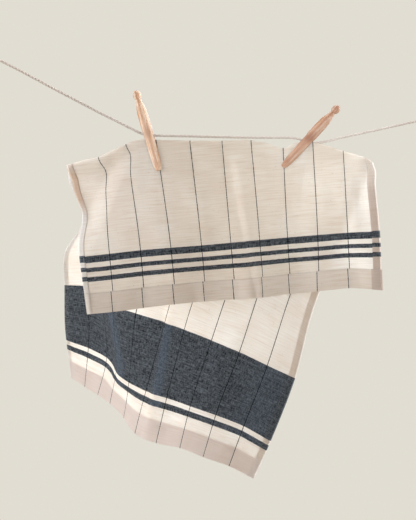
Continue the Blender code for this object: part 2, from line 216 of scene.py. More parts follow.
def addLamp(name, kind, place, target, size, power, colour):
    # a lamp turned to shine from its place at its target
    lamp = addObject(name, bpy.data.lights.new(name, kind))
    lamp.data.color = toLinear(colour)[:3]
    lamp.data.energy = power
    if kind == "SUN":
        lamp.data.angle = math.radians(size)
    else:
        lamp.data.spot_size = math.radians(size)
        lamp.data.spot_blend = 1.0
        lamp.data.shadow_soft_size = lightLook["spotRadius"]
    away = unit(np.subtract(place, target))
    side = unit(np.cross([0, 0, 1], away))
    middle = np.array([cameraLook["place"][0], 0, cameraLook["place"][2]])
    turned = Matrix(np.stack([side, np.cross(away, side), away]).T).to_4x4()
    lamp.matrix_world = Matrix.Translation(middle + place) @ turned


for row in lightLook["lamps"]:
    addLamp(*row)

world = bpy.data.worlds.new("pale studio")
world.use_nodes = True
scene.world = world
sky = world.node_tree
sky.nodes.clear()
seen = addNode(sky, "ShaderNodeLightPath").outputs["Is Camera Ray"]
ambient = addNode(sky, "ShaderNodeBackground", {
    "Color": toLinear(lightLook["ambient"]), "Strength": lightLook["ambientStrength"]})
backdrop = addNode(sky, "ShaderNodeBackground", {"Color": toLinear(lightLook["backdrop"])})
air = addNode(sky, "ShaderNodeMixShader", {0: seen, 1: ambient, 2: backdrop})
addNode(sky, "ShaderNodeOutputWorld", {"Surface": air})

# a plain pale floor well below the towel, one round face
floorMaterial, tree = newMaterial("matt painted floor")
paint = addNode(tree, "ShaderNodeBsdfPrincipled", {
    "Base Color": toLinear(lightLook["floorPaint"]), "Roughness": 0.9})
addNode(tree, "ShaderNodeOutputMaterial", {"Surface": paint})
angle = roundAngles(lightLook["floorSides"])
rim = together(np.cos(angle), np.sin(angle), 0) * lightLook["floorRadius"]
rim += [cameraLook["place"][0], 0, -lightLook["floorDrop"]]
floorMesh = bpy.data.meshes.new("floor")
floorMesh.from_pydata(rim.tolist(), [], [list(range(len(rim)))])
floorMesh.materials.append(floorMaterial)
floor = addObject("floor", floorMesh)


# the line: three cotton strands laid together
print("line")
lineLook = {
    "diameter": 3.8,
    "lay": 16.0,  # one full turn of the strands
    "strands": 3,
    "pressed": 1.06,  # how much the strands are thicker than if they only touched
    "ringsPerLay": 18, "sides": 24,
    "cotton": "#D9CDC3", "shade": "#B4A79B",
    "fleck": 6.0,  # from one paler stretch to the next
    "fibre": 0.35,  # between the fibres' bumps
}
# the route, a point for each place, as in the part's own source
lineRoute = np.array([
    (30.0, 0.0, -15.1), (40.0, 0.0, -20.1), (68.0, 0.0, -34.4), (97.6, 0.0, -50.1),
    (125.0, 0.0, -64.8), (152.8, 0.0, -79.4), (180.3, 0.0, -93.8), (211.5, 0.0, -109.4),
    (232.0, 0.0, -119.8), (244.5, 0.0, -125.6), (254.0, 0.0, -127.8), (264.0, 0.0, -128.2),
    (308.8, 0.0, -129.0), (345.0, 0.0, -129.9), (385.6, 0.0, -130.7), (420.0, 0.0, -131.0),
    (450.0, 0.3, -131.1), (466.0, 1.1, -131.9), (475.0, 1.4, -134.4), (484.0, 1.4, -138.0),
    (493.0, 1.4, -139.2), (503.0, 1.2, -138.0), (528.0, 0.3, -132.0), (563.9, 0.0, -124.2),
    (600.0, 0.0, -116.3), (639.0, 0.0, -107.6), (650.0, 0.0, -105.1),
])


def strandSection(turns):
    # radii round a rope of pressed round strands: for an angle p from the nearest strand's middle,
    # r = c cos p + sqrt(s*s - c*c sin p sin p), where s is the strand's radius and c its offset
    look = lineLook
    full = look["diameter"] / 2
    strand = full / (1 + 1 / math.sin(math.pi / look["strands"]))
    offset = full - strand
    strand *= look["pressed"]
    part = 2 * math.pi / look["strands"]
    p = (roundAngles(look["sides"]) - 2 * math.pi * turns[:, None] + part / 2) % part - part / 2
    return offset * np.cos(p) + np.sqrt(strand**2 - (offset * np.sin(p)) ** 2)


def ropePoints(path, reference, closed=False):
    # the twisted section carried along a path in millimetres, whole turns where the path closes
    run = runAlong(path)
    turns = run / lineLook["lay"]
    if closed:
        turns = np.arange(len(path)) / len(path) * round(turns[-1])
    points, faces = alongPath(path, strandSection(turns), np.array(reference, float), closed)
    return points, faces, run


def cottonCord():
    # Undyed cotton cord: matt, soft, each strand shaded in its groove, with fine fibres along the lay.
    look = lineLook
    material, tree = newMaterial("laid cotton cord")
    place = addNode(tree, "ShaderNodeTexCoord").outputs["Object"]
    fleck = addNode(tree, "ShaderNodeTexNoise", {
        "Vector": place, "Scale": 1 / (look["fleck"] * mm), "Detail": 3.0})
    fine = addNode(tree, "ShaderNodeTexNoise", {
        "Vector": place, "Scale": 1 / (look["fibre"] * mm), "Detail": 2.0})
    colour = addNode(tree, "ShaderNodeMix", {
        "Factor": fleck, "A": toLinear(look["shade"]), "B": toLinear(look["cotton"])}, data_type="RGBA")
    bump = addNode(tree, "ShaderNodeBump", {"Height": fine, "Strength": 0.35, "Distance": 0.25 * mm})
    shader = addNode(tree, "ShaderNodeBsdfPrincipled", {
        "Base Color": colour, "Roughness": 0.92, "Normal": bump,
        "Sheen Weight": 0.25, "Sheen Roughness": 0.6, "Specular IOR Level": 0.2})
    addNode(tree, "ShaderNodeOutputMaterial", {"Surface": shader})
    return material


cordCotton = cottonCord()
knots = runAlong(lineRoute)
rings = round(knots[-1] / lineLook["lay"] * lineLook["ringsPerLay"])
ringAt = np.linspace(0, knots[-1], rings + 1)[:, None] + np.zeros(3)
linePath = cubicBetween(knots[:, None], lineRoute, ringAt)
ropeSkin, ropeFaces, lineRun = ropePoints(linePath, (0, 1, 0))
line = addPiece("twisted_line", ropeSkin * mm, ropeFaces, cordCotton)
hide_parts("clothesline")

# the loops beyond the view's edges, each an eye of the same cord and a few turns round its foot
loopLook = {
    "gap": 0.3, "knotLength": 12.0, "knotRadius": 4.6, "turns": 3.4, "turnDiameter": 3.3,
    "turnSides": 14, "turnSteps": 150,
    "swell": 0.07, "swells": 9,  # the turns' own strands: how much they swell, and how often in a turn
    "eyeLength": 32.0, "eyeWidth": 9.0, "eyeRoot": 4.0, "eyeTear": 0.8, "eyeSteps": 96,
}


def addLoop(name, node, end, toward):
    # the eye is the teardrop x = (1 - cos t) / 2, z = sin t (1 - tear cos t); the turns are a helix
    # round the foot; both are made along +X and then laid along the line's own direction
    look = loopLook
    t = roundAngles(look["eyeSteps"])
    swell = np.sin(t) * (1 - look["eyeTear"] * np.cos(t))
    eye = together(
        look["knotLength"] - look["eyeRoot"] + look["eyeLength"] * (1 - np.cos(t)) / 2, 0,
        look["eyeWidth"] / 2 * swell / swell.max())
    eyeSkin, eyeFaces, _ = ropePoints(eye, (0, 1, 0), closed=True)

    turn = np.linspace(0, 2 * math.pi * look["turns"], look["turnSteps"])
    wire = look["turnDiameter"] / 2
    helixRadius = look["knotRadius"] - wire
    helix = together(
        wire + (look["knotLength"] - 2 * wire) * turn / turn[-1],
        helixRadius * np.cos(turn), helixRadius * np.sin(turn))
    swelling = 1 - look["swell"] + look["swell"] * np.cos(turn * look["swells"])
    radii = np.full((len(helix), look["turnSides"]), wire) * swelling[:, None]
    wrapSkin, wrapFaces = alongPath(helix, radii, np.array([1.0, 0, 0]))

    away = unit(np.array(end) - np.array(toward))
    across = np.array([0, 1.0, 0])
    turned = np.stack([away, across, np.cross(away, across)])
    skin = np.concatenate([eyeSkin, wrapSkin]) @ turned + np.array(end) + look["gap"] * away
    faces = eyeFaces + [[i + len(eyeSkin) for i in face] for face in wrapFaces]
    loop = addPiece(name, skin * mm, faces, cordCotton)
    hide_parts(node)
    return loop


leftLoop = addLoop("left_loop_cord", "left_loop", lineRoute[0], lineRoute[1])
rightLoop = addLoop("right_loop_cord", "right_loop", lineRoute[-1], lineRoute[-2])


# the pegs: each turned from one beech stick, then slotted
print("pegs")
pegLook = {
    "length": 121.0, "headRadius": 5.9, "headLength": 14.6,
    "headArc": 0.8,  # of a half turn, where the head meets the neck
    "profile": [(15.5, 4.3), (18.5, 4.6), (23.0, 5.7), (29.0, 6.8), (37.0, 7.3), (60.0, 7.5),
                (92.0, 7.4), (108.0, 6.9), (115.0, 6.3), (119.0, 5.3)],  # distance down, radius
    "tipPower": 0.8,  # under 1 the tip is blunter than an ellipse
    "sides": 56, "headSteps": 14, "neckSteps": 30, "neckTo": 40.0, "bodySteps": 40, "tipSteps": 7,
    "slotCrotch": 59.5, "slotPast": 5.0, "crotchSteps": 9,
    "edge": 0.35, "edgeAngle": 50.0, "sliver": 0.03,
    "places": [  # node, x, z, lean, the slot's width at its crotch and at the tip, and a share of painted shade over the whole stick
        ("left_peg", 252.3, -121.4, 16.4, 4.7, 7.4, 0.0),
        ("right_peg", 487.4, -130.1, -42.6, 7.2, 8.0, 0.5),
    ],
    "pale": "#E6CAB2", "warm": "#C8946C", "dark": "#80492C",
    # sizes of the grain, the year rings, the ray flecks and the handled patches, and how many times
    # longer than wide the grain and the flecks are
    "grain": 2.2, "year": 8.68, "ray": 1.0, "patch": 30.0, "grainLong": 20, "rayLong": 4,
}


def beech(name, placement, paintedShade):
    # Turned beech, handled and sun-dried: straight pink-brown grain along the stick with short dark
    # ray flecks, a little darker where hands hold it, darkened all over by a share of painted shade, and a
    # faint waxed shine.
    look = pegLook
    material, tree = newMaterial(name)
    place = addNode(tree, "ShaderNodeTexCoord").outputs["Object"]
    stick = addNode(tree, "ShaderNodeMapping", {
        "Vector": place, "Location": placement.to_translation(), "Rotation": placement.to_euler(),
    }, vector_type="TEXTURE")
    drawn, short = [
        addNode(tree, "ShaderNodeVectorMath", {0: stick, 1: (1, 1, 1 / look[long])}, operation="MULTIPLY")
        for long in ("grainLong", "rayLong")]
    grain = addNode(tree, "ShaderNodeTexNoise", {
        "Vector": drawn, "Scale": 1 / (look["grain"] * mm), "Detail": 4.0, "Distortion": 0.4})
    # at scale 1 this texture has 20 / (2 pi) waves to a metre
    ring = addNode(tree, "ShaderNodeTexWave", {
        "Vector": drawn, "Scale": 2 * math.pi / 20 / (look["year"] * mm), "Distortion": 3.0, "Detail": 2.0,
    }, wave_type="BANDS", bands_direction="X")
    fleck = addNode(tree, "ShaderNodeTexNoise", {
        "Vector": short, "Scale": 1 / (look["ray"] * mm), "Detail": 1.0})
    patch = addNode(tree, "ShaderNodeTexNoise", {
        "Vector": stick, "Scale": 1 / (look["patch"] * mm), "Detail": 1.0})
    lines = addNode(tree, "ShaderNodeMapRange", {"Value": grain, "From Min": 0.36, "From Max": 0.64})
    base = addNode(tree, "ShaderNodeMix", {
        "Factor": lines, "A": toLinear(look["warm"]), "B": toLinear(look["pale"])}, data_type="RGBA")
    colour = addNode(tree, "ShaderNodeMix", {
        "Factor": 0.4, "A": base, "B": ring.outputs["Color"]}, data_type="RGBA", blend_type="SOFT_LIGHT")
    # darker in the patches that hands hold and in the flecks, over a share of painted shade across the
    # whole stick
    for noise, low, high, least, most in (
            (patch, 0.45, 0.7, paintedShade, paintedShade + 0.3), (fleck, 0.6, 0.72, 0.0, 0.35)):
        share = addNode(tree, "ShaderNodeMapRange", {
            "Value": noise, "From Min": low, "From Max": high, "To Min": least, "To Max": most})
        colour = addNode(tree, "ShaderNodeMix", {
            "Factor": share, "A": colour, "B": toLinear(look["dark"])}, data_type="RGBA")
    bump = addNode(tree, "ShaderNodeBump", {"Height": grain, "Strength": 0.25, "Distance": 0.2 * mm})
    shader = addNode(tree, "ShaderNodeBsdfPrincipled", {
        "Base Color": colour, "Roughness": 0.5, "IOR": 1.5, "Normal": bump})
    addNode(tree, "ShaderNodeOutputMaterial", {"Surface": shader})
    return material


def pegOutline():
    # radii down the stick: a round head as an arc, the turned body as a smooth curve through the
    # profile, and a tip where distance = last + rest * sin a and radius = last radius * cos a ^ power
    look = pegLook
    turn = np.linspace(0, math.pi * look["headArc"], look["headSteps"] + 1)[1:]
    head = together(look["headLength"] / 2 * (1 - np.cos(turn)), look["headRadius"] * np.sin(turn))
    knots = np.array([head[-1]] + look["profile"])
    last, lastRadius = knots[-1]
    at = np.concatenate([
        np.linspace(knots[0, 0], look["neckTo"], look["neckSteps"])[1:],
        np.linspace(look["neckTo"], last, look["bodySteps"])[1:],
    ])
    body = cubicBetween(knots[:, :1], knots[:, 1:], at[:, None])[:, 0]
    turn = np.linspace(0, math.pi / 2, look["tipSteps"])[1:-1]
    down = last + (look["length"] - last) * np.sin(turn)
    tip = together(down, lastRadius * np.cos(turn) ** look["tipPower"])
    return np.concatenate([head, together(at, body), tip])


def slotCutter(slotTop, slotTip, placement):
    # the slot's outline, round at its crotch and wider at the tip, carried right across the stick
    look = pegLook
    wide = max(radius for _, radius in look["profile"]) + look["slotPast"]
    foot = -look["length"] / 2 - look["slotPast"]
    half = slotTop / 2
    arc = np.linspace(0, math.pi, look["crotchSteps"])
    crotch = look["length"] / 2 - look["slotCrotch"] - half + half * np.sin(arc)
    side = np.concatenate([
        [(-slotTip / 2, foot), (slotTip / 2, foot)], together(half * np.cos(arc), crotch)])
    rim = np.concatenate([together(x, *side.T) for x in (-wide, wide)])
    n = len(side)
    walls = [[i, (i + 1) % n, n + (i + 1) % n, n + i] for i in range(n)]
    caps = [list(range(n))[::-1], list(range(n, 2 * n))]
    mesh = bpy.data.meshes.new("slot cutter")
    mesh.from_pydata((rim * mm).tolist(), [], walls + caps)
    mesh.transform(placement)
    return addObject("slot cutter", mesh)


def addPeg(row):
    # a surface of revolution, closed at both poles, with the slot cut through it and its edges eased
    look = pegLook
    node, x, z, lean, slotTop, slotTip, paintedShade = row
    outline = pegOutline()
    n = look["sides"]
    angle = roundAngles(n)
    middle = look["length"] / 2
    down, radius = outline.T[:, :, None]
    skin = together(radius * np.cos(angle), radius * np.sin(angle), middle - down).reshape(-1, 3)
    top, tip = len(skin), len(skin) + 1
    skin = np.concatenate([skin, [(0, 0, middle), (0, 0, -middle)]])
    faces = gridQuads(len(outline), n, joinColumns=True)[:, ::-1].tolist()
    start = (len(outline) - 1) * n
    faces += [[top, i, (i + 1) % n] for i in range(n)]
    faces += [[tip, start + (i + 1) % n, start + i] for i in range(n)]
    placement = Matrix.Translation((x * mm, 0, z * mm)) @ Matrix.Rotation(-math.radians(lean), 4, "Y")
    material = beech("turned beech " + node, placement, paintedShade)
    peg = addPiece(node + "_beech", skin * mm, faces, material)
    peg.data.transform(placement)

    cutter = slotCutter(slotTop, slotTip, placement)
    slot = peg.modifiers.new("slot", "BOOLEAN")
    slot.operation = "DIFFERENCE"
    slot.object = cutter
    graph = bpy.context.evaluated_depsgraph_get()
    cut = bpy.data.meshes.new_from_object(peg.evaluated_get(graph))
    # the cut leaves triangles without area beside the slot
    whole = bmesh.new()
    whole.from_mesh(cut)
    bmesh.ops.dissolve_degenerate(whole, edges=whole.edges, dist=look["sliver"] * mm)
    whole.to_mesh(cut)
    whole.free()
    peg.modifiers.clear()
    peg.data = cut
    bpy.data.objects.remove(cutter)
    eased = peg.modifiers.new("eased edges", "BEVEL")
    eased.width = look["edge"] * mm
    eased.segments = 2
    eased.angle_limit = math.radians(look["edgeAngle"])
    cut.shade_smooth()
    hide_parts(node)
    return peg


pegs = [addPeg(row) for row in pegLook["places"]]


# the towel: one sheet through the same tables as the part, with its hems really turned over
print("towel")
towelLook = {
    "width": 450.0, "length": 700.0,
    "cloth": 0.55,  # thickness of one layer
    "layer": 0.64,  # from one layer's middle to the next in a hem
    "endHem": 29.0, "sideHems": (8.0, 11.5),  # left and right
    "stripesUp": 82.0, "footUp": 62.0, "bandUp": 164.0,
    "stripeLean": 0.5, "upperShare": 0.35, "middleShare": 0.7, "bowFade": 12.0,
    "curlRadius": 2.8, "curlTurn": 70.0,  # the right edge rolls back, in degrees
    "pucker": 0.22,  # depth of the dip beside a seam
    "step": 0.4,  # how far a normal's steps reach
    "slip": 2.8, "jog": 1.1,  # how far a turned hem's pattern lies aside of that of the cloth under it
    "creaseFade": 14.0,  # over which a crease dies out at its ends
    # how near the fold the creases start to grow and over what length, and that of the rolled edge
    "calm": 6.0, "calmWide": 30.0, "rollWide": 9.0,
    "puckerAt": 2.0, "puckerWide": 3.0,  # the dip's middle, past the seam, and its reach
    "climbFrom": 6.0, "climbTo": 1.0,  # past a side hem: where an end hem climbs on it
    "columns": 136, "hemColumns": 5, "rollColumns": 12,
    "frontRows": 74, "foldRows": 12, "backRows": 146, "hemRows": 12, "turnRows": 5,
}
# the fold along the top: across, x, z of the cloth's top, the radius it turns on, y of its middle
foldTable = np.array([
    (0, 135.0, -170.6, 14.0, 10.0), (22, 158.1, -163.6, 12.0, 8.0), (45, 181.1, -158.6, 8.5, 5.0),
    (68, 200.6, -149.9, 5.5, 2.5), (90, 221.4, -140.6, 2.8, 0.8), (108, 237.3, -134.6, 1.2, 0.0),
    (126, 256.0, -133.6, 0.9, 0.0), (135, 264.6, -134.4, 1.0, 0.0), (157, 287.7, -135.2, 2.2, 0.0),
    (180, 313.6, -135.8, 3.0, 0.0), (225, 359.7, -135.8, 3.4, 0.0), (270, 401.4, -135.2, 3.0, 0.0),
    (292, 424.5, -139.6, 2.4, 0.0), (315, 447.5, -145.9, 1.8, -0.4), (335, 467.0, -138.6, 0.8, -2.0),
    (348, 479.0, -137.0, 0.7, -2.1), (360, 490.0, -137.0, 0.7, -2.1), (372, 502.2, -140.9, 0.9, -3.0),
    (388, 518.0, -145.6, 1.6, -1.6), (405, 533.9, -150.6, 2.4, 0.0), (428, 553.6, -156.4, 2.8, 0.0),
    (442, 568.0, -161.6, 2.8, 0.0), (450, 577.0, -168.6, 2.6, 0.0),
])
# the front flap: across, x and z at the top stripe, x, z and y at the hem
frontTable = np.array([
    (0, 154.2, -303.5, 166.7, -385.2, -7.0), (45, 198.0, -298.8, 205.6, -381.3, -9.0),
    (90, 242.5, -293.7, 249.4, -375.8, -5.0), (135, 286.2, -290.1, 294.0, -370.5, -8.0),
    (180, 330.2, -286.7, 337.2, -366.4, -5.0), (225, 372.4, -282.9, 379.5, -363.6, -9.0),
    (250, 395.0, -281.0, 403.0, -362.4, -14.0), (270, 413.0, -279.2, 418.3, -360.7, -9.0),
    (315, 453.7, -275.3, 458.8, -355.6, -5.0), (360, 497.1, -271.8, 498.9, -352.0, -7.0),
    (405, 540.5, -268.4, 544.3, -347.7, -4.0), (450, 586.3, -266.5, 588.6, -350.6, -7.0),
])
# soft folds of the front flap: across, up, reach across, reach up, shift in x, shift in y
bowTable = [
    (45, 164, 18, 24, 2.4, 0.0), (0, 146, 34, 34, 12.5, 3.0), (45, 200, 26, 24, 8.5, 0.0),
    (90, 220, 22, 18, 4.5, 0.0), (450, 172, 20, 16, 3.0, 0.0), (0, 204, 24, 26, 5.0, 0.0),
]
# the front flap's left corner lies further back than the rest, past a slope along a slanting line:
# where the line starts and ends, across and up, the slope's width and its depth
wing = {"start": (114, 240), "end": (6, 64), "wide": 40.0, "deep": 14.0, "fade": 30.0}
# the back flap: across; upper shift, y; middle shift, y; then x, y, z at the band, its foot, the hem
backTable = np.array([
    (0, 27, 72, -2, 116, 113.3, 148, -347.2, 111.2, 188, -436.5, 117.2, 203, -497.3),
    (45, 10, 42, -2, 92, 153.4, 130, -348.7, 148.6, 171, -447.7, 141.6, 185, -511.4),
    (90, 4, 17, 0, 62, 176.7, 107, -361.2, 180.5, 149, -461.2, 164.9, 160, -521.2),
    (135, 1, 8, 0, 38, 198.7, 82, -375.5, 197.9, 119, -479.9, 187.6, 128, -531.3),
    (180, 0, 8, 0, 26, 231.5, 60, -387.3, 219.5, 88, -493.5, 210.8, 96, -548.6),
    (225, 0, 9, -3, 22, 276.5, 50, -399.9, 246.3, 62, -503.3, 230.2, 64, -567.2),
    (270, 0, 8, -3, 17, 304.8, 33, -409.7, 279.1, 44, -511.6, 263.3, 44, -578.2),
    (315, 0, 7, -3, 13, 344.6, 23, -424.8, 313.5, 30, -522.0, 298.5, 29, -583.0),
    (360, 0, 7, -2, 11, 385.2, 17, -441.4, 350.9, 22, -533.7, 332.2, 22, -595.0),
    (405, -2, 8, -3, 11, 425.6, 14, -460.4, 391.6, 20, -549.7, 370.2, 26, -608.9),
    (450, -7, 9, -9, 12, 466.2, 14, -479.5, 431.4, 24, -572.0, 407.2, 36, -629.9),
])


def readAcross(table, across):
    # every column of a table as smooth curves, read at the distances across
    return [cubicBetween(table[:, 0], table[:, c], across) for c in range(1, table.shape[1])]


def clothMiddle(across, along):
    # the cloth's middle surface: across has a number for each column, and along, from the front end,
    # a row of numbers for each row. Front flap, fold and back flap are three stretches of one curve:
    # cubics through the tables' lines, a half circle, and cubics again.
    look = towelLook
    foldX, foldZ, radius, foldY = readAcross(foldTable, across)
    stripeX, stripeZ, hemX, hemZ, hemY = readAcross(frontTable, across)
    (upperShift, upperY, middleShift, middleY, bandX, bandY, bandZ,
     footX, footY, footZ, endX, endY, endZ) = readAcross(backTable, across)
    top = together(foldX, foldY, foldZ - radius)
    reach = together(0, radius, 0)
    up = np.array([0, 0, 1.0])

    front = np.stack([
        together(hemX, hemY, hemZ), together(stripeX, hemY * look["stripeLean"], stripeZ), top - reach])
    frontRun = look["stripesUp"] + np.linalg.norm(front[2] - front[1], axis=-1)
    knots = np.stack([0 * frontRun, look["stripesUp"] + 0 * frontRun, frontRun])[..., None]
    slopes = threePointSlopes(knots, front)
    slopes[-1, :, 1:] = up[1:]
    frontAt = cubicBetween(knots, front, along[..., None] + np.zeros(3), slopes)
    toTop = frontRun + math.pi / 2 * radius - along
    fade = ease(0, 1, toTop / (look["bowFade"] + math.pi / 2 * radius))
    bowed = np.zeros(3)
    for bowAcross, bowUp, reachAcross, reachUp, shiftX, shiftY in bowTable:
        far = ((across - bowAcross) / reachAcross) ** 2 + ((along - bowUp) / reachUp) ** 2
        bowed = bowed + (np.exp(-far) * fade)[..., None] * np.array([shiftX, shiftY, 0])
    runAcross, runUp = unit(np.subtract(wing["end"], wing["start"]))
    past = (along - wing["start"][1]) * -runAcross + (across - wing["start"][0]) * runUp
    fade = ease(0, wing["fade"], toTop)
    bowed = bowed + (wing["deep"] * ease(0, wing["wide"], past) * fade)[..., None] * np.array([0, 1, 0])

    turn = np.clip((along - frontRun) / radius, 0, math.pi)[..., None]
    foldAt = top - reach * np.cos(turn) + up * radius[:, None] * np.sin(turn)

    start = top + reach
    band = together(bandX, bandY, bandZ)
    between = []
    for share, shift, y in (
            (look["upperShare"], upperShift, upperY), (look["middleShare"], middleShift, middleY)):
        straight = start + (band - start) * share
        between.append(together(straight[:, 0] + shift, y, straight[:, 2]))
    back = np.stack([start, *between, band, together(footX, footY, footZ), together(endX, endY, endZ)])
    backRun = look["length"] - frontRun - math.pi * radius
    toBand = backRun - look["bandUp"]
    knots = np.stack([0 * toBand, look["upperShare"] * toBand, look["middleShare"] * toBand, toBand,
                      backRun - look["footUp"], backRun])[..., None]
    slopes = threePointSlopes(knots, back)
    slopes[0, :, 1:] = -up[1:]
    down = along - frontRun - math.pi * radius
    backAt = cubicBetween(knots, back, down[..., None] + np.zeros(3), slopes)

    inFront = (along < frontRun)[..., None]
    inBack = (down > 0)[..., None]
    return np.where(inFront, frontAt, np.where(inBack, backAt, foldAt)) + bowed, frontRun, radius


# creases, one by one: which flap; across and up, from that flap's own end, for both ends of the
# crease; the reach of its sharp left side and of its soft right side; and how far its crest stands
# towards the viewer
creaseTable = [
    ("front", 247, 198, 258, 84, 12, 46, 5.6),
    ("front", 258, 84, 271, -4, 12, 42, 5.6),
    ("front", 11, 238, 22, 196, 3, 4, 0.8),
    ("front", 17, 240, 31, 192, 3, 4, 0.8),
    ("front", 322, 206, 296, 122, 18, 14, 1.1),
    ("front", 352, 204, 344, 120, 14, 16, -1.0),
    ("front", 372, 212, 402, 140, 16, 22, 1.4),
    ("front", 142, 206, 160, 116, 16, 22, -1.0),
    ("front", 424, 226, 430, 60, 10, 10, -1.2),
    ("back", 129, 150, 156, 34, 15, 18, 1.7),
    ("back", 229, 204, 240, 120, 13, 20, 4.4),
    ("back", 240, 120, 252, -4, 13, 20, 4.4),
    ("back", 196, 150, 204, 50, 14, 10, -1.6),
    ("back", 330, 190, 350, 40, 20, 30, 1.2),
    ("back", 410, 170, 424, 20, 12, 18, 1.3),
]


def creaseHeight(across, frontAlong, backAlong, inFront):
    # each crease rises as 1-(d/left)^2 from its sharp side to the crest and falls as exp(-(d/right)^2)
    # beyond it, where d is the distance to the right of the crest, and dies out past both of its ends
    fade = towelLook["creaseFade"]
    height = np.zeros(np.broadcast_shapes(across.shape, frontAlong.shape))
    for flap, fromAcross, fromUp, toAcross, toUp, left, right, tall in creaseTable:
        up = frontAlong if flap == "front" else backAlong
        onFlap = inFront if flap == "front" else ~inFront
        run = np.array([toAcross - fromAcross, toUp - fromUp], float)
        length = np.linalg.norm(run)
        run /= length
        dx, dy = across - fromAcross, up - fromUp
        passed = dx * run[0] + dy * run[1]
        aside = (dx * run[1] - dy * run[0]) * (-1 if run[1] < 0 else 1)
        sharp = np.maximum(1 - (aside / left) ** 2, 0)
        soft = np.exp(-((aside / right) ** 2))
        ends = ease(-fade, fade, passed) * ease(-fade, fade, length - passed)
        height += onFlap * tall * np.where(aside < 0, sharp, soft) * ends
    return height


rippleTable = [  # small uneven undulations: wave length across and along, phase, height
    (61, 340, 0.4, 0.4), (37, 150, 2.1, 0.18), (23, -210, 4.4, 0.1), (95, 120, 1.3, 0.5),
    (17, 66, 5.2, 0.05),
]


def sideways(surface, across, along):
    # the unit normal of a surface by short steps inwards: the step across crossed with the step along
    look = towelLook
    middle = surface(across, along)
    right = np.where(across > look["width"] / 2, -look["step"], look["step"])
    later = np.where(along > look["length"] / 2, -look["step"], look["step"])
    acrossWay = (surface(across + right, along) - middle) / right[:, None]
    alongWay = (surface(across, along + later) - middle) / later[..., None]
    return middle, unit(np.cross(acrossWay, alongWay))


def clothRelief(across, along):
    # the middle surface with its creases, its small undulations, the right edge that turns back and
    # the pucker beside each hem's seam, all measured along its normal and dying out at the fold
    look = towelLook
    middle, outward = sideways(lambda u, v: clothMiddle(u, v)[0], across, along)
    _, frontRun, radius = clothMiddle(across, along[:1])
    toTop = along - frontRun - math.pi / 2 * radius
    inFront = toTop < 0
    height = creaseHeight(across, along, look["length"] - along, inFront)
    for longAcross, longAlong, phase, tall in rippleTable:
        height += tall * np.sin(2 * math.pi * (across / longAcross + along / longAlong) + phase)
    toEnd = np.minimum(along, look["length"] - along)
    left, right = look["sideHems"]
    for past in (toEnd - look["endHem"], across - left, look["width"] - right - across):
        height -= look["pucker"] * np.exp(-(((past - look["puckerAt"]) / look["puckerWide"]) ** 2))
    reach = look["curlRadius"] * math.sin(math.radians(look["curlTurn"]))
    edge = np.maximum(across - look["width"] + reach, 0)
    roll = look["curlRadius"] - np.sqrt(look["curlRadius"] ** 2 - edge**2)
    height = height * ease(0, look["calmWide"], np.abs(toTop) - look["calm"])
    height = height - roll * ease(0, look["rollWide"], np.abs(toTop))
    return middle + outward * (height * np.where(inFront, 1.0, -1.0))[..., None]


def turnedEdge(hem, steps):
    # from a hem's free edge, over the cloth, round its fold: place on the cloth, layers above the
    # cloth, and the hem's own distance along the cloth, which is negative
    look = towelLook
    turnRadius = look["layer"] / 2
    flat = np.linspace(hem, turnRadius, steps)
    turn = np.linspace(0, math.pi, look["turnRows"] + 2)[1:-1]
    place = np.concatenate([flat, turnRadius * (1 - np.sin(turn))])
    rise = np.concatenate([np.ones(steps), (1 + np.cos(turn)) / 2])
    own = np.concatenate([-flat, -turnRadius * np.cos(turn)])
    return place, rise, own


def withHems(first, inner, last, size):
    # place, layers and own distance, as above, over all the cloth: one turned edge, the cloth between
    # and the mirror image of another turned edge
    (place, rise, own), (lastPlace, lastRise, lastOwn) = first, last
    return (
        np.concatenate([place, inner, size - lastPlace[::-1]]),
        np.concatenate([rise, 0 * inner, lastRise[::-1]]),
        np.concatenate([own, inner, size - lastOwn[::-1]]),
    )


def buildTowel(material):
    # columns and rows run from the free edge of each turned hem, round its fold, over the cloth and
    # round to the other side's; each point stands off the relief along its normal by its layers
    look = towelLook
    turnRadius = look["layer"] / 2
    left, right = look["sideHems"]
    inner = np.concatenate([
        np.linspace(turnRadius, look["width"] - right, look["columns"])[:-1],
        np.linspace(look["width"] - right, look["width"] - turnRadius, look["rollColumns"]),
    ])
    leftHem, rightHem = turnedEdge(left, look["hemColumns"]), turnedEdge(right, look["rollColumns"])
    across, sideRise, ownAcross = withHems(leftHem, inner, rightHem, look["width"])

    _, frontRun, radius = clothMiddle(across, np.zeros((1, len(across))))
    share = np.linspace(0, 1, look["frontRows"])[:, None]
    frontRows = turnRadius + (frontRun - turnRadius) * share
    foldRows = frontRun + math.pi * radius * np.linspace(0, 1, look["foldRows"] + 1)[1:, None]
    share = np.linspace(0, 1, look["backRows"] + 1)[1:, None]
    backStart = frontRun + math.pi * radius
    backRows = backStart + (look["length"] - turnRadius - backStart) * share
    inner = np.concatenate([frontRows, foldRows, backRows])
    endHem = [rows[:, None] + 0 * across for rows in turnedEdge(look["endHem"], look["hemRows"])]
    along, endRise, ownAlong = withHems(endHem, inner, endHem, look["length"])

    relief, outward = sideways(clothRelief, across, along)
    sides = sum(
        ease(hem + look["climbFrom"], hem + look["climbTo"], inward)
        for hem, inward in ((left, across), (right, look["width"] - across)))
    rise = sideRise + endRise * (1 + sides)
    points = relief + outward * (look["layer"] * rise)[..., None]
    slip = look["slip"] * (endRise > 0.5)
    jog = -look["jog"] * (sideRise > 0.5)
    printAt = together(ownAcross + slip, ownAlong + jog)
    faces = gridQuads(along.shape[0], along.shape[1]).tolist()
    towel = addPiece("woven_towel", points.reshape(-1, 3) * mm, faces, material,
                     printAt.reshape(-1, 2) * mm)
    solid = towel.modifiers.new("cloth thickness", "SOLIDIFY")
    solid.thickness = look["cloth"] * mm
    solid.offset = 0
    return towel


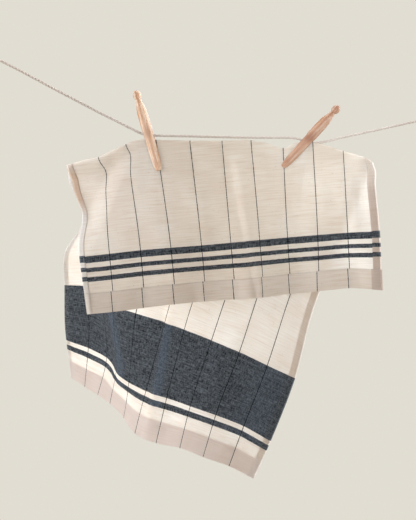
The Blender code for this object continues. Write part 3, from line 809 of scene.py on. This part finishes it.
seamLook = {
    "every": 3.6, "long": 2.6, "thick": 0.3, "sunk": 0.12, "inFromEdge": 1.6, "sides": 6, "rings": 5,
    "blunt": 0.02,  # the least value under the root, so that a stitch's end rings aren't points
    "thread": "#E4D8C8", "ply": 0.4,
}


def buildSeams(material):
    # each stitch is a short thread, a spindle r = thick/2 * sqrt(1 - s*s) for s from -1 to 1, on both
    # sides of the hem: rows of them along both ends and both sides of the towel
    look, cut = seamLook, towelLook
    endLine = cut["endHem"] - look["inFromEdge"]
    leftLine, rightLine = [hem - look["inFromEdge"] for hem in cut["sideHems"]]
    acrossRow = np.arange(look["every"], cut["width"] - look["every"], look["every"])
    alongRow = np.arange(look["every"], cut["length"] - look["every"], look["every"])
    seams = [  # places across and along, then which way the stitches run
        (acrossRow, endLine, 1, 0), (acrossRow, cut["length"] - endLine, 1, 0),
        (leftLine, alongRow, 0, 1), (cut["width"] - rightLine, alongRow, 0, 1),
    ]
    across, along, wayAcross, wayAlong = np.concatenate([together(*seam) for seam in seams]).T
    middle, outward = sideways(clothRelief, across, along[None])
    step = look["long"] / 3
    ahead = clothRelief(across + wayAcross * step, along[None] + wayAlong * step)
    ahead = unit(ahead - middle)[0]
    middle, outward = middle[0], outward[0]
    side = np.cross(outward, ahead)
    s = np.linspace(-1, 1, look["rings"])
    angle = roundAngles(look["sides"])
    swell = look["thick"] / 2 * np.sqrt(np.maximum(1 - s**2, look["blunt"]))[:, None]
    local = together(s[:, None] * look["long"] / 2, swell * np.cos(angle), swell * np.sin(angle))
    local = local.reshape(-1, 3)
    skinDepth = cut["cloth"] / 2 - look["sunk"]
    skins = [
        (middle + outward * height)[:, None] + local @ np.stack([ahead, side, outward], axis=1)
        for height in (cut["layer"] + skinDepth, -skinDepth)]
    skin = np.concatenate(skins).reshape(-1, 3)
    firsts = np.arange(0, len(skin), len(local))[:, None]
    shape = gridQuads(look["rings"], look["sides"], joinColumns=True)
    ring = np.arange(look["sides"])
    caps = np.concatenate([firsts + ring[::-1], firsts + len(local) - len(ring) + ring])
    faces = (firsts[:, :, None] + shape).reshape(-1, 4).tolist() + caps.tolist()
    return addPiece("hem_stitches", skin * mm, faces, material)


def sewingThread():
    # Mercerised cotton thread: a little smoother and warmer than the cloth.
    material, tree = newMaterial("cotton sewing thread")
    place = addNode(tree, "ShaderNodeTexCoord").outputs["Object"]
    ply = addNode(tree, "ShaderNodeTexNoise", {
        "Vector": place, "Scale": 1 / (seamLook["ply"] * mm), "Detail": 1.0})
    bump = addNode(tree, "ShaderNodeBump", {"Height": ply, "Strength": 0.4, "Distance": 0.1 * mm})
    shader = addNode(tree, "ShaderNodeBsdfPrincipled", {
        "Base Color": toLinear(seamLook["thread"]), "Roughness": 0.7, "Normal": bump})
    addNode(tree, "ShaderNodeOutputMaterial", {"Surface": shader})
    return material


weaveLook = {
    "cream": "#FBF7F0",
    "patterns": {  # how long each is across and along the cloth, and its own detail
        "cloud": (45, 60, 2.0), "nep": (2.2, 1.1, 0.0), "weft": (52, 1.7, 1.0), "warp": (1.6, 30, 1.0),
        "slub": (34, 2.6, 2.0),  # 20 to 40 mm long, and drawn thicker than real, so that they show
        "waver": (3, 40, 1.0), "weftFleck": (8, 1.15, 1.0), "warpFleck": (1.15, 8, 1.0),
        "paleWeft": (50, 2.6, 1.0), "cover": (40, 1.7, 1.0)},
    "layers": [  # over the cream: a pattern, from where to where it grows in, its most, its colour
        ("cloud", 0.3, 0.7, 0.6, "#F3EADF"), ("slub", 0.56, 0.74, 0.4, "#E2D1BF"),
        ("weft", 0.35, 0.65, 0.28, "#E2D1BF"), ("nep", 0.8, 0.86, 0.7, "#B39C84")],
    "hems": {  # painted shade on each hem, in place of the doubled cloth letting less light through: its tint and its share, which differ with the light on each hem
        "left": ("#E6D2C2", 0.1), "right": ("#C6AC9B", 0.45), "front": ("#D9BFAB", 0.1),
        "back": ("#F8E9E3", 0.45)},
    "paleFrom": 140.0, "paleTo": 170.0, "paleShare": 0.1,  # past these the right hem's painted shade is lighter
    # painted warm shade inside the left edge near the fold, standing in for light coming warm through the
    # turned edge: where it is full and where it ends, across from the edge and along from its middle
    "foldShadeTan": "#DDB084", "foldShadeShare": 0.6,
    "foldShadeMiddle": 183.0, "foldShadeAcross": (2.0, 4.5), "foldShadeAlong": (16.8, 42.0),
    "navy": "#2D3135", "navyLight": "#A2A9B0",
    "frontStripes": [45.5, 52.0, 59.2, 65.2, 72.4, 82.2],  # where navy starts and ends, from the front
    "backStripes": [46.5, 54.8, 62.0, 164.0],  # and from the back end
    "waverDeep": 0.4, "fleckMost": 0.85,
    "closeBelow": 100.0, "closeShare": 0.85,  # the front end's stripes show less of the undyed warp
    "paintedFoldLightNavy": "#7C8A9A",
    "paintedFoldLights": [  # painted light: lighter bluish streaks along folds of the back flap; where each starts across, its lean, its reach to each side, its share
        (168, -0.29, 24, 0.35), (262, -0.165, 17, 0.36), (412, 0.1, 70, 0.2)],
    "pin": "#382D25", "navyPin": "#1E2225", "pinEvery": 45.0,
    "pinHalf": (0.3, 0.62),  # half a pinstripe's width, from where the weft covers it most
    "through": 0.58,  # share of light that the cloth lets on instead of turning back
    "throughAt": {"front": 0.5, "back": 0.4, "left": 0.36, "fold": 0.12},  # a folded edge looks white
    "foldWide": 1.8,  # how far in from a side that edge reaches
    "thread": 0.75, "stands": {"slub": 5.0, "warp": 1.6},  # height against that of a thread's wave
}


def slubCotton():
    # Plain-woven undyed cotton with slubs: matt, cream, thin enough for light to come through, with
    # dyed pinstripes in the warp and navy bands in the weft, where the undyed warp shows as flecks.
    look, cut = weaveLook, towelLook
    material, tree = newMaterial("plain woven slub cotton")
    uv = addNode(tree, "ShaderNodeUVMap", uv_map="cloth")
    split = addNode(tree, "ShaderNodeSeparateXYZ", {0: uv})
    across, along = split.outputs["X"], split.outputs["Y"]
    pattern = {}
    for name, (longAcross, longAlong, detail) in look["patterns"].items():
        drawn = addNode(tree, "ShaderNodeVectorMath", {
            0: uv, 1: (1 / (longAcross * mm), 1 / (longAlong * mm), 1)}, operation="MULTIPLY")
        pattern[name] = addNode(tree, "ShaderNodeTexNoise", {
            "Vector": drawn, "Scale": 1.0, "Detail": detail})

    def apart(place, other):
        # how far one place on the cloth is from another
        less = addNode(tree, "ShaderNodeMath", {0: place, 1: other}, operation="SUBTRACT")
        return addNode(tree, "ShaderNodeMath", {0: less}, operation="ABSOLUTE")

    # what is laid over the cream, by share: the layers, painted shade on the hems inside their distance
    # from each edge of the cut cloth, and painted warm shade inside the left edge near the fold
    tints = []
    for name, low, high, most, tint in look["layers"]:
        tints.append((tint, addNode(tree, "ShaderNodeMapRange", {
            "Value": pattern[name], "From Min": low, "From Max": high, "To Max": most})))
    # painted shade on each hem, inside its distance from the edge, with its own tint and share
    left, right = cut["sideHems"]
    inside = {}
    for edge, place, line, side in (
            ("left", across, left, "LESS_THAN"), ("right", across, cut["width"] - right, "GREATER_THAN"),
            ("front", along, cut["endHem"], "LESS_THAN"),
            ("back", along, cut["length"] - cut["endHem"], "GREATER_THAN")):
        tint, most = look["hems"][edge]
        if edge == "right":
            most = addNode(tree, "ShaderNodeMapRange", {
                "Value": along, "From Min": look["paleFrom"] * mm, "From Max": look["paleTo"] * mm,
                "To Min": most, "To Max": look["paleShare"]})
        inside[edge] = addNode(tree, "ShaderNodeMath", {0: place, 1: line * mm}, operation=side)
        tints.append((tint, addNode(tree, "ShaderNodeMath", {
            0: inside[edge], 1: most}, operation="MULTIPLY")))
    # painted warm shade: full at the left edge near the fold, fading away across and along
    share = look["foldShadeShare"]
    toFoldShade = apart(along, look["foldShadeMiddle"] * mm)
    for place, (full, none) in ((across, look["foldShadeAcross"]), (toFoldShade, look["foldShadeAlong"])):
        near = addNode(tree, "ShaderNodeMapRange", {
            "Value": place, "From Min": full * mm, "From Max": none * mm, "To Min": 1.0, "To Max": 0.0})
        share = addNode(tree, "ShaderNodeMath", {0: share, 1: near}, operation="MULTIPLY")
    tints.append((look["foldShadeTan"], share))
    cloth = toLinear(look["cream"])
    for tint, share in tints:
        cloth = addNode(tree, "ShaderNodeMix", {
            "Factor": share, "A": cloth, "B": toLinear(tint)}, data_type="RGBA")

    half = cut["width"] / 2
    fromMiddle = apart(across, half * mm)
    inside["fold"] = addNode(tree, "ShaderNodeMath", {
        0: fromMiddle, 1: half * mm, 2: look["foldWide"] * mm}, operation="COMPARE")
    through = look["through"]
    for edge, share in look["throughAt"].items():
        through = addNode(tree, "ShaderNodeMix", {0: inside[edge], 2: through, 3: share})

    # navy bands, read from each end, their edges wavering by a thread
    waver = addNode(tree, "ShaderNodeMapRange", {
        "Value": pattern["waver"], "To Min": -look["waverDeep"] * mm, "To Max": look["waverDeep"] * mm})
    fromFront = addNode(tree, "ShaderNodeMath", {0: along, 1: waver}, operation="ADD")
    fromBack = addNode(tree, "ShaderNodeMath", {
        0: cut["length"] * mm, 1: fromFront}, operation="SUBTRACT")
    banded = 0.0
    for place, stripes in ((fromFront, look["frontStripes"]), (fromBack, look["backStripes"])):
        for number, edge in enumerate(stripes):
            # each edge adds or takes away the dye above it
            above = addNode(tree, "ShaderNodeMath", {0: place, 1: edge * mm}, operation="GREATER_THAN")
            banded = addNode(tree, "ShaderNodeMath", {
                0: banded, 1: above}, operation="SUBTRACT" if number % 2 else "ADD")

    # what is laid over the navy: the undyed warp's flecks, and painted light along folds of the back flap,
    # lighter and bluer where the folds catch the light, a line each, as across = start + lean * distance
    # from the back end, faded to both sides
    flecks = addNode(tree, "ShaderNodeMath", {
        0: pattern["weftFleck"], 1: pattern["warpFleck"]}, operation="ADD")
    flecks = addNode(tree, "ShaderNodeMath", {
        0: pattern["paleWeft"], 1: 0.5, 2: flecks}, operation="MULTIPLY_ADD")
    flecks = addNode(tree, "ShaderNodeMapRange", {
        "Value": flecks, "From Min": 0.95, "From Max": 1.75, "To Max": look["fleckMost"]})
    close = addNode(tree, "ShaderNodeMath", {0: along, 1: look["closeBelow"] * mm}, operation="LESS_THAN")
    close = addNode(tree, "ShaderNodeMapRange", {
        "Value": close, "To Min": 1.0, "To Max": look["closeShare"]})
    flecks = addNode(tree, "ShaderNodeMath", {0: flecks, 1: close}, operation="MULTIPLY")
    tints = [(look["navyLight"], flecks)]
    onBack = addNode(tree, "ShaderNodeMath", {
        0: along, 1: cut["length"] / 2 * mm}, operation="GREATER_THAN")
    for start, lean, wide, share in look["paintedFoldLights"]:
        onFold = addNode(tree, "ShaderNodeMath", {
            0: fromBack, 1: lean, 2: start * mm}, operation="MULTIPLY_ADD")
        foldLightShare = addNode(tree, "ShaderNodeMapRange", {
            "Value": apart(across, onFold), "From Max": wide * mm, "To Min": share, "To Max": 0.0,
        }, interpolation_type="SMOOTHSTEP")
        tints.append((look["paintedFoldLightNavy"], addNode(tree, "ShaderNodeMath", {
            0: foldLightShare, 1: onBack}, operation="MULTIPLY")))
    navy = toLinear(look["navy"])
    for tint, share in tints:
        navy = addNode(tree, "ShaderNodeMix", {
            "Factor": share, "A": navy, "B": toLinear(tint)}, data_type="RGBA")
    dyed = addNode(tree, "ShaderNodeMix", {"Factor": banded, "A": cloth, "B": navy}, data_type="RGBA")

    # pinstripes: a pair of dyed warp threads each, thinner where the weft covers them
    aside = addNode(tree, "ShaderNodeMath", {0: across, 1: look["pinEvery"] / 2 * mm}, operation="PINGPONG")
    least, most = look["pinHalf"]
    pinHalf = addNode(tree, "ShaderNodeMapRange", {
        "Value": pattern["cover"], "From Min": 0.3, "From Max": 0.65,
        "To Min": least * mm, "To Max": most * mm})
    onPin = addNode(tree, "ShaderNodeMath", {0: aside, 1: pinHalf}, operation="LESS_THAN")
    within = addNode(tree, "ShaderNodeMath", {
        0: fromMiddle, 1: (half - look["pinEvery"] / 2) * mm}, operation="LESS_THAN")
    pinned = addNode(tree, "ShaderNodeMath", {0: onPin, 1: within}, operation="MULTIPLY")
    pin = addNode(tree, "ShaderNodeMix", {
        "Factor": banded, "A": toLinear(look["pin"]), "B": toLinear(look["navyPin"])}, data_type="RGBA")
    colour = addNode(tree, "ShaderNodeMix", {"Factor": pinned, "A": dyed, "B": pin}, data_type="RGBA")

    # the weave's own relief: threads over and under, and slubs and warp threads standing out of them
    waves = []
    for place in (across, along):
        turn = addNode(tree, "ShaderNodeMath", {
            0: place, 1: 2 * math.pi / (look["thread"] * mm)}, operation="MULTIPLY")
        waves.append(addNode(tree, "ShaderNodeMath", {0: turn}, operation="SINE"))
    relief = addNode(tree, "ShaderNodeMath", {0: waves[0], 1: waves[1]}, operation="MULTIPLY")
    for name, tall in look["stands"].items():
        relief = addNode(tree, "ShaderNodeMath", {
            0: pattern[name], 1: tall, 2: relief}, operation="MULTIPLY_ADD")
    bump = addNode(tree, "ShaderNodeBump", {"Height": relief, "Strength": 0.5, "Distance": 0.12 * mm})
    face = addNode(tree, "ShaderNodeBsdfPrincipled", {
        "Base Color": colour, "Roughness": 0.95, "Normal": bump, "Specular IOR Level": 0.15,
        "Sheen Weight": 0.15, "Sheen Roughness": 0.6})
    far = addNode(tree, "ShaderNodeBsdfTranslucent", {"Color": colour, "Normal": bump})
    both = addNode(tree, "ShaderNodeMixShader", {0: through, 1: face, 2: far})
    addNode(tree, "ShaderNodeOutputMaterial", {"Surface": both})
    return material


towel = buildTowel(slubCotton())
stitches = buildSeams(sewingThread())
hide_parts("towel")
